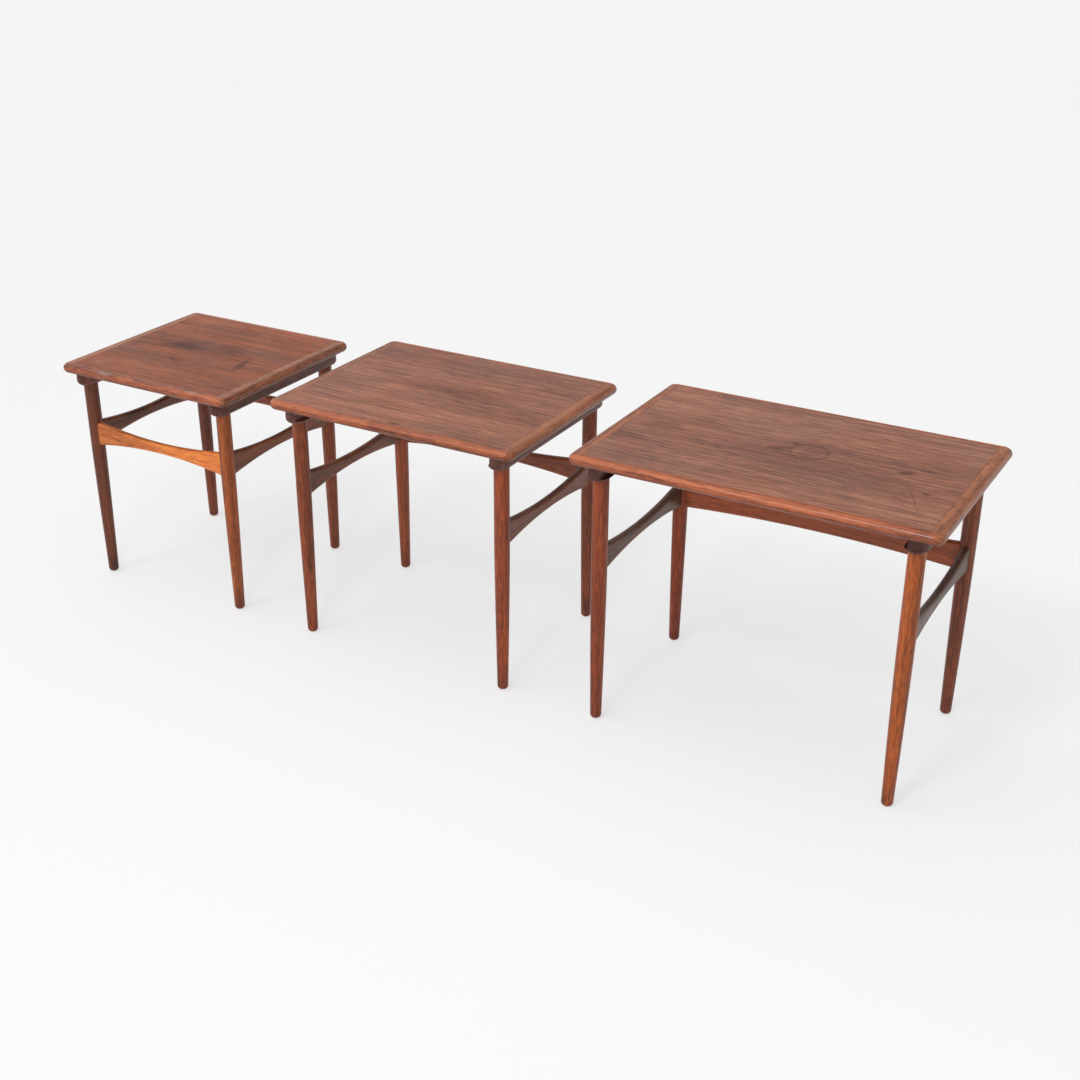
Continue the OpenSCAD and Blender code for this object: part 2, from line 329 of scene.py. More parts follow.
    matt = None
    for mark in marks:
        distance = n.patch(where, mark["at"], mark["size"], mark.get("turn", 0))
        breakup = n.noise(where, mark.get("grit", 120), 4.0, 0.65)
        breakup = n.math("MULTIPLY", n.math("SUBTRACT", breakup, 0.5), mark.get("ragged", 0.7))
        distance = n.math("ADD", distance, breakup)
        if "rim" in mark:
            distance = n.math("ABSOLUTE", n.math("SUBTRACT", distance, 1.0))
            cover = n.remap(distance, 0.0, mark["rim"], 1.0, 0.0)
        else:
            cover = n.remap(distance, mark.get("core", 0.2), 1.0, 1.0, 0.0)
        cover = n.math("MULTIPLY", cover, mark["strength"])
        if mark.get("speckle"):
            cover = n.math("MULTIPLY", cover, n.remap(fibre, 0.35, 0.65, 0.35, 1.0))
        colour = n.mix(cover, colour, rgba(mark["tint"]), mark.get("blend", "MULTIPLY"))
        matt = cover if matt is None else n.math("MAXIMUM", matt, cover)

    # darker, duller end grain wherever the surface faces along the fibres
    facing = n.add("ShaderNodeSeparateXYZ")
    n.put(facing.inputs[0], coords.outputs["Normal"])
    end_grain = n.remap(n.math("ABSOLUTE", facing.outputs[axis]), 0.60, 0.95)
    colour = n.mix(n.math("MULTIPLY", end_grain, 0.85), colour, END_GRAIN_TINT, "MULTIPLY")

    # painted shade: the more a surface faces down, the darker it is made
    if painted_shade_below:
        below = n.remap(facing.outputs[2], -0.75, 0.30, painted_shade_below, 0.0)
        colour = n.mix(below, colour, PAINTED_UNDERSIDE_SHADE, "MULTIPLY")

    # worn arrises, from the mesh's own wear attribute, broken up along the grain
    attribute = n.add("ShaderNodeAttribute", attribute_name="wear", attribute_type="GEOMETRY")
    worn = n.noise(n.stretch(grain, (28, 60, 60)), 1.0, 4.0, 0.65)
    worn = n.math("MULTIPLY", attribute.outputs["Fac"], n.remap(worn, 0.38, 0.66))
    colour = n.mix(n.math("MULTIPLY", worn, 0.55), colour, rgba(light, 1.22))

    if foot_dirt:
        low = n.remap(split.outputs[2], 0.0, 0.075, 1.0, 0.0)
        scuffs = n.noise(n.stretch(where, (160, 160, 45)), 1.0, 4.0, 0.7)
        low = n.math("MULTIPLY", low, n.remap(scuffs, 0.35, 0.70, 0.35, 1.0))
        colour = n.mix(n.math("MULTIPLY", low, 0.75), colour, DIRT_TINT, "MULTIPLY")
        dents = n.noise(n.stretch(where, (95, 95, 60), (5, 2, 8)), 1.0, 2.0, 0.5)
        dents = n.remap(dents, 0.70, 0.76)
        colour = n.mix(n.math("MULTIPLY", dents, 0.6), colour, DENT_TINT, "MULTIPLY")

    gloss = n.noise(n.stretch(grain, (10, 14, 14), (2, 6, 1)), 1.0, 3.0, 0.6)
    roughness = n.remap(gloss, 0.30, 0.70, rough - 0.07, rough + 0.09, smooth=False)
    roughness = n.math("ADD", roughness, n.math("MULTIPLY", pores, 0.16))
    roughness = n.math("ADD", roughness, n.math("MULTIPLY", end_grain, 0.16))
    roughness = n.math("SUBTRACT", roughness, n.math("MULTIPLY", attribute.outputs["Fac"], polish))
    if matt is not None:
        roughness = n.math("ADD", roughness, n.math("MULTIPLY", matt, 0.08))

    height = n.math("MULTIPLY", pores, -0.6)
    height = n.math("ADD", height, n.math("MULTIPLY", fine, 0.35))
    height = n.math("ADD", height, n.math("MULTIPLY", fibre, 0.35))
    bump = n.add("ShaderNodeBump")
    bump.inputs["Strength"].default_value = 0.22
    bump.inputs["Distance"].default_value = 0.0004
    n.put(bump.inputs["Height"], height)

    shader = n.add("ShaderNodeBsdfPrincipled")
    n.put(shader.inputs["Base Color"], colour)
    n.put(shader.inputs["Roughness"], roughness)
    n.put(shader.inputs["Normal"], bump.outputs[0])
    shader.inputs["Specular IOR Level"].default_value = 0.34
    output = n.add("ShaderNodeOutputMaterial")
    n.put(output.inputs[0], shader.outputs[0])
    return material


def steel(name):
    material = bpy.data.materials.new(name)
    n = Nodes(material)
    where = n.add("ShaderNodeTexCoord").outputs["Object"]
    dull = n.noise(where, 900, 3.0, 0.6)
    shader = n.add("ShaderNodeBsdfPrincipled")
    colour = n.mix(dull, (0.30, 0.28, 0.24, 1), (0.52, 0.50, 0.45, 1))
    n.put(shader.inputs["Base Color"], colour)
    n.put(shader.inputs["Roughness"], n.remap(dull, 0.3, 0.7, 0.32, 0.55))
    shader.inputs["Metallic"].default_value = 1.0
    output = n.add("ShaderNodeOutputMaterial")
    n.put(output.inputs[0], shader.outputs[0])
    return material


# ---------------------------------------------------------------- mesh helpers


def baked(obj):
    """Replaces obj's mesh by the result of its modifiers."""
    graph = bpy.context.evaluated_depsgraph_get()
    mesh = bpy.data.meshes.new_from_object(obj.evaluated_get(graph))
    mesh.name = obj.name
    obj.modifiers.clear()
    obj.data = mesh


def linked(name, bm):
    mesh = bpy.data.meshes.new(name)
    bmesh.ops.recalc_face_normals(bm, faces=bm.faces)
    bm.to_mesh(mesh)
    bm.free()
    obj = bpy.data.objects.new(name, mesh)
    bpy.context.scene.collection.objects.link(obj)
    return obj


def cut_by(obj, cutters, operation="DIFFERENCE"):
    """Takes the cutters' solids out of obj, or joins them to it."""
    for cutter in cutters:
        modifier = obj.modifiers.new("cut", "BOOLEAN")
        modifier.operation = operation
        modifier.solver = "EXACT"
        modifier.object = cutter
    baked(obj)
    for cutter in cutters:
        bpy.data.objects.remove(cutter)
    bm = bmesh.new()
    bm.from_mesh(obj.data)
    bmesh.ops.remove_doubles(bm, verts=bm.verts, dist=WELD)
    bmesh.ops.dissolve_degenerate(bm, edges=bm.edges, dist=WELD)
    bm.to_mesh(obj.data)
    bm.free()


def ease(obj, width):
    """Rounds the sharp arrises of obj."""
    modifier = obj.modifiers.new("ease", "BEVEL")
    modifier.width = width
    modifier.segments = 2
    modifier.limit_method = "ANGLE"
    modifier.angle_limit = math.radians(50)
    modifier.harden_normals = False
    baked(obj)


def set_wear(mesh, rule):
    """Writes how worn each vertex is, from 0 to 1, by rule or else by how sharp its edges are."""
    bm = bmesh.new()
    bm.from_mesh(mesh)
    bm.normal_update()
    values = []
    for vert in bm.verts:
        if rule:
            values.append(rule(vert.co, vert.normal))
        else:
            angles = [e.calc_face_angle(0.0) for e in vert.link_edges]
            values.append(min(max((max(angles, default=0.0) - 0.16) / 0.3, 0.0), 1.0))
    bm.free()
    layer = mesh.attributes.new("wear", "FLOAT", "POINT")
    layer.data.foreach_set("value", values)


def finished(obj, material, body, nodes, wear=None, sharp=32):
    mesh = obj.data
    mesh.materials.clear()
    mesh.materials.append(material)
    mesh.polygons.foreach_set("use_smooth", [True] * len(mesh.polygons))
    mesh.set_sharp_from_angle(angle=math.radians(sharp))
    set_wear(mesh, wear)
    weighted = obj.modifiers.new("normals", "WEIGHTED_NORMAL")
    weighted.keep_sharp = True
    weighted.weight = 80
    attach(obj, body)
    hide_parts(*nodes)
    return obj


def bridge(bm, a, b, closed=True):
    """Quads between two rows of vertices of equal length."""
    count = len(a)
    for i in range(count if closed else count - 1):
        j = (i + 1) % count
        bm.faces.new((a[i], a[j], b[j], b[i]))


def lathe(name, profile, centre, segments=64):
    """Solid turned from (radius, height) points; the first and last points are its flat ends."""
    bm = bmesh.new()
    rows = []
    for radius, z in profile:
        row = []
        for i in range(segments):
            a = 2 * math.pi * i / segments
            x, y = centre[0] + radius * math.cos(a), centre[1] + radius * math.sin(a)
            row.append(bm.verts.new((x, y, centre[2] + z)))
        rows.append(row)
    for a, b in zip(rows, rows[1:]):
        bridge(bm, a, b)
    bm.faces.new(rows[0][::-1])
    bm.faces.new(rows[-1])
    return linked(name, bm)


def block(name, low, high):
    bm = bmesh.new()
    bmesh.ops.create_cube(bm, size=1)
    size = [h - l for l, h in zip(low, high)]
    middle = [(h + l) / 2 for l, h in zip(low, high)]
    bmesh.ops.scale(bm, vec=size, verts=bm.verts)
    bmesh.ops.translate(bm, vec=middle, verts=bm.verts)
    return linked(name, bm)


# ---------------------------------------------------------------- sizes read from the frame


class Table:
    def __init__(self, name):
        self.name = name
        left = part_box(f"{name}_left_lipping")
        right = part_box(f"{name}_right_lipping")
        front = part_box(f"{name}_front_lipping")
        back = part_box(f"{name}_back_lipping")
        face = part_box(f"{name}_top_veneer")
        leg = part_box(f"{name}_front_right_leg")
        self.x = (left[0][0] + right[1][0]) / 2
        self.half_w = (right[1][0] - left[0][0]) / 2
        self.half_d = (back[1][1] - front[0][1]) / 2
        self.top = face[1][2]
        self.bottom = right[0][2]
        self.inner_w = (face[1][0] - face[0][0]) / 2
        self.inner_d = (face[1][1] - face[0][1]) / 2
        self.leg_x = (leg[0][0] + leg[1][0]) / 2 - self.x
        self.leg_y = -(leg[0][1] + leg[1][1]) / 2
        self.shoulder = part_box(f"{name}_left_runner")[0][2]
        self.rebated = name != "small"
        self.body = f"{name}_table"


tables = {name: Table(name) for name in TABLES}


# ---------------------------------------------------------------- tops


def rounded_rect(half_w, half_d, radius, corner_steps, spacing):
    """Outline points with outward normals, anticlockwise from the middle of the right side."""
    out = []
    corners = (
        (half_w - radius, half_d - radius, 0),
        (-half_w + radius, half_d - radius, 90),
        (-half_w + radius, -half_d + radius, 180),
        (half_w - radius, -half_d + radius, 270),
    )
    for i, (cx, cy, start) in enumerate(corners):
        for k in range(corner_steps + 1):
            a = math.radians(start + 90 * k / corner_steps)
            nx, ny = math.cos(a), math.sin(a)
            out.append((Vector((cx + radius * nx, cy + radius * ny)), Vector((nx, ny))))
        here = out[-1]
        ncx, ncy, nstart = corners[(i + 1) % 4]
        a = math.radians(nstart)
        after = Vector((ncx + radius * math.cos(a), ncy + radius * math.sin(a)))
        length = (after - here[0]).length
        steps = max(int(length / spacing), 1)
        for k in range(1, steps):
            out.append((here[0].lerp(after, k / steps), here[1].copy()))
    return out


def lipping(t, edge):
    """One solid lipping: half-round outside, mitred at both ends, seams eased."""
    outline = rounded_rect(
        t.half_w - EDGE_R, t.half_d - EDGE_R, CORNER_R - EDGE_R, 12, LIPPING_PITCH
    )
    direction = {"front": (0, -1), "back": (0, 1), "left": (-1, 0), "right": (1, 0)}[edge]
    d = Vector(direction)
    along = Vector((-d.y, d.x))
    reach = (t.half_d if d.x == 0 else t.half_w) - LIPPING_DEPTH
    # walk the outline once from a point that lies off this edge, so that the edge comes as one run
    start = next(i for i, s in enumerate(outline) if s[0].dot(d) <= reach)
    walk = outline[start:] + outline[:start]
    stations = [s for s in walk if s[0].dot(d) > reach]
    bm = bmesh.new()
    middle = t.top - EDGE_R
    arc = 16
    rows = []
    for point, normal in stations:
        row = []
        for k in range(arc + 1):
            a = math.pi / 2 - math.pi * k / arc
            p = point + normal * (EDGE_R * math.cos(a))
            row.append(bm.verts.new((t.x + p.x, p.y, middle + EDGE_R * math.sin(a))))
        rows.append(row)
    for a, b in zip(rows, rows[1:]):
        bridge(bm, a, b, closed=False)
    inner = t.inner_d if d.x == 0 else t.inner_w
    side = t.inner_w if d.x == 0 else t.inner_d

    def inner_row(grow, z):
        pts = (
            along * -(side + grow) + d * reach,
            along * -(side + grow) + d * (inner + grow),
            along * (side + grow) + d * (inner + grow),
            along * (side + grow) + d * reach,
        )
        return [bm.verts.new((t.x + p.x, p.y, z)) for p in pts]

    high = inner_row(SEAM, t.top)
    low = inner_row(0, t.top - SEAM)
    base = inner_row(0, t.bottom)
    bridge(bm, high, low, closed=False)
    bridge(bm, low, base, closed=False)
    top_loop = [r[0] for r in rows]
    base_loop = [r[-1] for r in rows]
    bm.faces.new(top_loop + high[::-1])
    bm.faces.new(base_loop[::-1] + base)
    bm.faces.new(rows[0] + [base[0], low[0], high[0]])
    bm.faces.new(rows[-1] + [base[3], low[3], high[3]])
    bmesh.ops.recalc_face_normals(bm, faces=bm.faces)
    # the mitres run from the inner corner to the outer one
    for s in (-1, 1):
        corner = along * (s * side) + d * inner
        run = along * (s * ((t.half_w if d.x == 0 else t.half_d) - side)) + d * (
            (t.half_d if d.x == 0 else t.half_w) - inner
        )
        normal = Vector((run.y, -run.x)).normalized()
        if normal.dot(along) * s < 0:
            normal = -normal
        result = bmesh.ops.bisect_plane(
            bm,
            geom=bm.verts[:] + bm.edges[:] + bm.faces[:],
            plane_co=(t.x + corner.x, corner.y, 0),
            plane_no=(normal.x, normal.y, 0),
            clear_outer=True,
        )
        rim = [g for g in result["geom_cut"] if isinstance(g, bmesh.types.BMEdge)]
        bmesh.ops.edgeloop_fill(bm, edges=rim)
    obj = linked(f"{t.name}_{edge}_lipping_wood", bm)

    def wear(co, normal):
        p = Vector((co.x - t.x, co.y))
        lift = max(0.0, 1 - abs(normal.z - 0.62) / 0.5)
        corner = max(0.0, 1 - (Vector((t.half_w - abs(p.x), t.half_d - abs(p.y))).length) / 0.05)
        outward = 1.0 if abs(p.x) > t.inner_w or abs(p.y) > t.inner_d else 0.0
        return min(lift * outward * (0.75 + 0.6 * corner), 1.0)

    return finished(
        obj,
        lipping_material(t.name, edge),
        t.body,
        [f"{t.name}_{edge}_lipping"],
        wear,
    )


def face_veneer(t):
    """Face veneer with its four arrises eased, so that the seam with the lippings shows."""
    low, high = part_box(f"{t.name}_top_veneer")
    bm = bmesh.new()

    def rect(inset, z):
        return [
            bm.verts.new((x, y, z))
            for x, y in (
                (low[0] + inset, low[1] + inset),
                (high[0] - inset, low[1] + inset),
                (high[0] - inset, high[1] - inset),
                (low[0] + inset, high[1] - inset),
            )
        ]

    rows = [rect(0, low[2]), rect(0, high[2] - SEAM), rect(SEAM, high[2])]
    for a, b in zip(rows, rows[1:]):
        bridge(bm, a, b)
    bm.faces.new(rows[0][::-1])
    bm.faces.new(rows[-1])
    obj = linked(f"{t.name}_top_veneer_wood", bm)
    return finished(
        obj, top_material[t.name], t.body, [f"{t.name}_top_veneer"], lambda co, n: 0.0
    )


# ---------------------------------------------------------------- runners


def runner(t, side_name, side):
    """Runner with half-round ends, a rebate on the inside, and its mortises and screw holes."""
    low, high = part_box(f"{t.name}_{side_name}_runner")
    height = high[2] - low[2]
    flat = RUNNER_HALF - RUNNER_CORNER_R
    nose = high[1] - RUNNER_HALF
    x = t.x + side * t.leg_x
    bm = bmesh.new()
    around = 24
    straight = 24
    spine = []
    for end, start in ((1, 0), (-1, 180)):
        for k in range(around + 1):
            a = math.radians(start + 180 * k / around)
            spine.append((Vector((0, end * nose)), Vector((math.cos(a), math.sin(a)))))
    outline = []
    for i, (centre, normal) in enumerate(spine):
        outline.append((centre, normal))
        if i == around:
            after = spine[i + 1][0]
            outline += [(centre.lerp(after, k / straight), normal) for k in range(1, straight)]
    last, normal = spine[-1]
    outline += [(last.lerp(spine[0][0], k / straight), normal) for k in range(1, straight)]
    corner = 10
    section = [
        (flat + RUNNER_CORNER_R * math.sin(a), RUNNER_CORNER_R * (1 - math.cos(a)))
        for a in (math.radians(90 * k / corner) for k in range(corner + 1))
    ]
    section.append((RUNNER_HALF, height - ARRIS_R))
    section.append((RUNNER_HALF - ARRIS_R, height))
    rows = []
    for reach, z in section:
        row = []
        for centre, normal in outline:
            q = centre + normal * reach
            row.append(bm.verts.new((x + q.x, q.y, low[2] + z)))
        rows.append(row)
    for lower, upper in zip(rows, rows[1:]):
        bridge(bm, lower, upper)
    bm.faces.new(rows[0][::-1])
    bm.faces.new(rows[-1])
    obj = linked(f"{t.name}_{side_name}_runner_wood", bm)
    if t.rebated:
        wall = x - side * REBATE_WALL
        beyond = x - side * (RUNNER_HALF + OVERCUT)
        xs = sorted((wall, beyond))
        reach = nose + RUNNER_HALF + OVERCUT
        corners = (xs[0], -reach, low[2] + LIP_T), (xs[1], reach, high[2] + OVERCUT)
        cut_by(obj, [block("cutter", *corners)])
        ease(obj, ARRIS_R)
    cutters = []
    for _, end in ENDS:
        hole = [(TENON_R + JOINT_GAP, -0.001), (TENON_R + JOINT_GAP, TENON_L + JOINT_GAP)]
        cutters.append(lathe("cutter", hole, (x, end * t.leg_y, low[2]), 48))
    for i in (-1, 0, 1):
        cutters.append(lathe("cutter", SCREW_HOLE, (x, i * SCREW_PITCH, low[2]), 32))
    cut_by(obj, cutters)
    return finished(
        obj,
        runner_material[t.name],
        t.body,
        [f"{t.name}_{side_name}_runner"],
    )


# ---------------------------------------------------------------- legs


def leg_radius(z):
    if z >= TAPER_START:
        return LEG_R
    return LEG_R - (LEG_R - FOOT_R) * (1 - z / TAPER_START) ** TAPER_POWER


def leg(t, end_name, end, side_name, side):
    """Turned leg with a rounded foot, a round tenon on top and mortises for the stretchers."""
    shoulder = t.shoulder
    foot_edge = leg_radius(FOOT_ROUND)
    profile = []
    foot_steps = 10
    for k in range(foot_steps + 1):
        a = math.radians(-90 + 90 * k / foot_steps)
        radius = foot_edge - FOOT_ROUND + FOOT_ROUND * math.cos(a)
        profile.append((radius, FOOT_ROUND + FOOT_ROUND * math.sin(a)))
    z = FOOT_ROUND
    while z < shoulder - 1.5 * LEG_PITCH:
        z += LEG_PITCH
        profile.append((leg_radius(z), z))
    profile += [
        (LEG_R, shoulder - 0.0009),
        (LEG_R - 0.0002, shoulder - 0.0003),
        (LEG_R - 0.0008, shoulder),
        (TENON_R, shoulder),
        (TENON_R, shoulder + TENON_L - 0.001),
        (TENON_R - 0.001, shoulder + TENON_L),
    ]
    centre = (t.x + side * t.leg_x, end * t.leg_y, 0)
    obj = lathe(f"{t.name}_{end_name}_{side_name}_leg_wood", profile, centre)
    cutters = []
    inner = TENON_STOP - JOINT_GAP
    half_t = FLAT_TENON_T / 2 + JOINT_GAP
    z_mid = stretcher_mid(t)
    z0, z1 = z_mid - FLAT_TENON_H / 2 - JOINT_GAP, z_mid + FLAT_TENON_H / 2 + JOINT_GAP
    ys = sorted((centre[1] - end * inner, centre[1] - end * (LEG_R + 0.001)))
    cutters.append(
        block("cutter", (centre[0] - half_t, ys[0], z0), (centre[0] + half_t, ys[1], z1))
    )
    if end > 0 or t.name == "small":
        xs = sorted((centre[0] - side * inner, centre[0] - side * (LEG_R + 0.001)))
        cutters.append(
            block("cutter", (xs[0], centre[1] - half_t, z0), (xs[1], centre[1] + half_t, z1))
        )
    cut_by(obj, cutters)
    return finished(
        obj,
        leg_material(t.name, end_name, side_name),
        t.body,
        [f"{t.name}_{end_name}_{side_name}_leg"],
        sharp=28,
    )


# ---------------------------------------------------------------- stretchers


def stretcher_mid(t):
    low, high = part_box(f"{t.name}_left_stretcher")
    return (low[2] + high[2]) / 2


def stretcher(t, node, centre, span, waist, axis):
    """Bowed stretcher, coped to the round legs at both ends, with flat tenons."""
    low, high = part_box(node)
    thick = min(high[0] - low[0], high[1] - low[1])
    end = high[2] - low[2]
    half = span / 2 - LEG_R
    sag = (end - waist) / 2
    bow = (half * half + sag * sag) / (2 * sag)
    r = STRETCHER_EDGE_R
    flat = thick / 2 - r
    cope = LEG_R + JOINT_GAP

    def half_height(x):
        return waist / 2 + bow - math.sqrt(bow * bow - x * x)

    # section columns, from one flat face over the top edge to the other face, then underneath
    quarter = 8
    ring = []
    for s_y, s_z, order in ((-1, 1, 1), (1, 1, -1), (1, -1, 1), (-1, -1, -1)):
        ks = range(quarter + 1) if order > 0 else range(quarter, -1, -1)
        for k in ks:
            a = math.radians(90 * k / quarter)
            ring.append((s_y * (flat + r * math.cos(a)), s_z, -r + r * math.sin(a)))
    bm = bmesh.new()
    rows = []
    stations = 48
    for i in range(stations + 1):
        u = -1 + 2 * i / stations
        row = []
        for y, s_z, drop in ring:
            x = u * (span / 2 - math.sqrt(cope * cope - y * y))
            z = s_z * (half_height(x) + drop)
            row.append(bm.verts.new(place(x, y, z, centre, axis)))
        rows.append(row)
    for a, b in zip(rows, rows[1:]):
        bridge(bm, a, b)
    # coped ends: the section's rows pair up across the thickness
    count = 4 * (quarter + 1)
    cope_steps = 8
    for i, s in ((0, -1), (stations, 1)):
        row = rows[i]
        pairs = []
        for k in range(quarter + 1):
            pairs.append((row[k], row[2 * quarter + 1 - k]))
        for k in range(quarter + 1):
            pairs.append((row[count - 1 - k], row[2 * quarter + 2 + k]))
        upper, lower = pairs[: quarter + 1], pairs[quarter + 1 :]
        columns = []
        for left, right in upper[::-1] + lower:
            line = [left]
            y0, z0 = local_yz(left.co, centre, axis)
            for k in range(1, cope_steps):
                y = y0 * (1 - 2 * k / cope_steps)
                x = s * (span / 2 - math.sqrt(cope * cope - y * y))
                line.append(bm.verts.new(place(x, y, z0, centre, axis)))
            line.append(right)
            columns.append(line)
        for a, b in zip(columns, columns[1:]):
            bridge(bm, a, b, closed=False)
        # slivers between the arc of the cope and the straight top and bottom edges
        bm.faces.new(columns[0])
        bm.faces.new(columns[-1])
    obj = linked(f"{node}_wood", bm)
    tenons = []
    for s in (-1, 1):
        xs = sorted((s * (half - OVERCUT), s * (span / 2 - TENON_STOP)))
        corners = [
            place(x, s_yz * FLAT_TENON_T / 2, s_yz * FLAT_TENON_H / 2, centre, axis)
            for x in xs
            for s_yz in (-1, 1)
        ]
        low = [min(c[i] for c in corners) for i in range(3)]
        high = [max(c[i] for c in corners) for i in range(3)]
        tenons.append(block("tenon", low, high))
    cut_by(obj, tenons, "UNION")

    def wear(co, normal):
        y, z = local_yz(co, centre, axis)
        arris = max(0.0, 1 - abs(abs(y) - thick * 0.36) / (thick * 0.22))
        return arris * (0.85 if normal.z > 0.1 else 0.35)

    return finished(
        obj, stretcher_material[node], t.body, [node], wear, sharp=40
    )


def place(x, y, z, centre, axis):
    if axis == 0:
        return (centre[0] + x, centre[1] + y, centre[2] + z)
    return (centre[0] - y, centre[1] + x, centre[2] + z)


def local_yz(co, centre, axis):
    if axis == 0:
        return co[1] - centre[1], co[2] - centre[2]
    return centre[0] - co[0], co[2] - centre[2]


# ---------------------------------------------------------------- finishes


def on_top(t, x, y):
    """A point on a tabletop, from its middle, in millimetres."""
    return (tables[t].x + x / 1000, y / 1000, tables[t].top)


SOOT = (0.40, 0.35, 0.36)
SHADE = (0.62, 0.56, 0.56)
EMBER = (1.28, 1.02, 0.86)


def mark(t, x, y, rx, ry, strength, tint=SOOT, **more):
    """A stain on a tabletop: its middle and its half lengths in millimetres."""
    size = (rx / 1000, ry / 1000)
    return dict(at=on_top(t, x, y), size=size, strength=strength, tint=tint, **more)


TOP_MARKS = {
    "large": (
        mark("large", 30, -8, 250, 74, 0.62, (0.74, 0.66, 0.70), turn=4, ragged=0.9, grit=14),
        mark("large", 25, 7, 30, 31, 0.95, SOOT, rim=0.13, ragged=0.18, grit=50, speckle=True),
        mark("large", 26, 8, 26, 27, 0.28, SHADE, ragged=0.6, grit=60),
        mark("large", -22, 0, 30, 15, 0.75, SOOT, turn=20, ragged=1.0),
        mark("large", -5, 33, 16, 9, 0.60, SOOT, ragged=1.0),
        mark("large", 112, 123, 12, 1.7, 0.95, (0.22, 0.16, 0.15), ragged=0.5, turn=-3),
        mark("large", 186, 3, 21, 10, 0.95, SOOT, turn=18, ragged=1.0),
        mark("large", 214, 24, 28, 6, 0.80, SOOT, turn=-12, ragged=0.9),
        mark("large", 236, -60, 10, 6, 0.95, SOOT, ragged=0.9),
        mark("large", 250, -66, 22, 3, 0.40, SOOT, ragged=0.8),
        mark("large", 244, 4, 26, 9, 0.55, EMBER, ragged=0.9, blend="MULTIPLY"),
        mark("large", 226, -90, 74, 1.2, 0.90, SOOT, turn=-65, ragged=0.5),
        mark("large", 205, -98, 40, 1.0, 0.70, SOOT, turn=-48, ragged=0.5),
        mark("large", 120, -95, 12, 5, 0.40, SOOT, turn=30, ragged=1.1),
        mark("large", -25, -118, 34, 2.2, 0.55, SOOT, turn=-4, ragged=0.8),
        mark("large", -255, -70, 60, 24, 0.60, SHADE, ragged=1.0, grit=40),
        mark("large", -225, -5, 70, 30, 0.60, SHADE, turn=10, ragged=1.0, grit=35),
        mark("large", -170, 60, 46, 18, 0.25, SHADE, ragged=0.9, grit=30),
    ),
    "medium": (
        mark("medium", 0, 8, 165, 44, 0.80, SHADE, turn=-4, ragged=0.9, grit=20),
        mark("medium", 10, 6, 45, 13, 0.35, SOOT, ragged=1.0, grit=45),
        mark("medium", 8, -176, 17, 7, 0.85, (0.42, 0.38, 0.37), ragged=0.8),
        mark("medium", -130, -49, 96, 3.0, 0.62, SOOT, turn=-2, ragged=0.5),
        mark("medium", 28, -66, 72, 2.6, 0.50, SOOT, turn=-13, ragged=0.5),
        mark("medium", -156, 31, 62, 3.2, 0.45, SOOT, turn=-12, ragged=0.5),
        mark("medium", -36, 33, 64, 2.4, 0.35, SOOT, turn=12, ragged=0.5),
        mark("medium", 156, 146, 9, 3.4, 0.60, SOOT, ragged=0.8),
        mark("medium", 150, -60, 80, 2.2, 0.35, SOOT, turn=5, ragged=0.6),
        mark("medium", -60, -120, 88, 2.4, 0.30, SOOT, turn=3, ragged=0.6),
    ),
    "small": (
        mark("small", -20, 12, 165, 62, 0.70, SHADE, turn=-2, ragged=0.9, grit=18),
        mark("small", -66, 6, 66, 25, 0.85, SOOT, turn=4, ragged=1.0, grit=40),
        mark("small", -151, -22, 30, 20, 0.50, SOOT, turn=20, ragged=1.0, grit=40),
        mark("small", 104, -24, 50, 12, 0.85, SOOT, turn=-78, ragged=0.8, grit=50),
        mark("small", 62, -12, 34, 20, 0.30, SHADE, ragged=0.9, grit=40),
        mark("small", 8, 72, 172, 2.6, 0.60, SOOT, turn=-4, ragged=0.5),
        mark("small", 130, -30, 52, 14, 0.38, SOOT, turn=12, ragged=0.9, grit=40),
        mark("small", -30, -62, 22, 10, 0.40, SOOT, turn=-30, ragged=1.0),
        mark("small", 60, -104, 46, 5, 0.30, SOOT, ragged=0.8),
        mark("small", -141, -146, 16, 9, 0.14, (0.56, 0.52, 0.50), blend="MIX", ragged=1.0),
    ),
}

FACE = dict(light=lin(160, 98, 72), mid=lin(134, 78, 56), dark=lin(98, 56, 42))
FACE_TONES = {
    "large": (1.21, 1.54, 1.82),
    "medium": (1.18, 1.38, 1.52),
    "small": (1.07, 0.81, 0.47),
}


def toned(palette, tone):
    """The palette with each of its colours multiplied, channel by channel, by tone."""
    return {
        key: tuple(c * f for c, f in zip(value, tone)) if isinstance(value, tuple) else value
        for key, value in palette.items()
    }


FACE_GRAIN = {
    "large": dict(seed=1.7, heart=(0.05, 0.43), ring=0.0050, figure=0.006),
    "medium": dict(seed=5.3, heart=(-0.02, 0.40), ring=0.0048, figure=0.007),
    "small": dict(seed=9.1, heart=(0.04, 0.38), ring=0.0046, figure=0.007),
}
top_material = {
    name: teak(
        f"teak_top_{name}",
        0,
        **toned(FACE, FACE_TONES[name]),
        **FACE_GRAIN[name],
        streak=0.45,
        flecks=1.35,
        fleck_w=0.0026,
        fleck_l=10,
        fines=1.9,
        marks=TOP_MARKS[name],
    )
    for name in TABLES
}

LIPPING = {
    0: dict(light=lin(178, 100, 62), mid=lin(145, 78, 49), dark=lin(84, 43, 28), streak=0.95),
    1: dict(light=lin(166, 106, 74), mid=lin(142, 84, 58), dark=lin(92, 54, 38), streak=0.7),
}
lipping_finish = {}


SCUFF = (0.45, 0.43, 0.42)
LIPPING_MARKS = {
    "teak_lipping_small_long": (
        mark("small", -90, -188, 26, 6, 0.22, SCUFF, blend="MIX", ragged=1.2, grit=90),
        mark("small", 122, -187, 20, 5, 0.20, SCUFF, blend="MIX", ragged=1.2, grit=90),
    ),
    "teak_lipping_medium_long": (
        mark("medium", 8, -180, 15, 6, 0.6, (0.42, 0.38, 0.37), ragged=0.8),
    ),
}


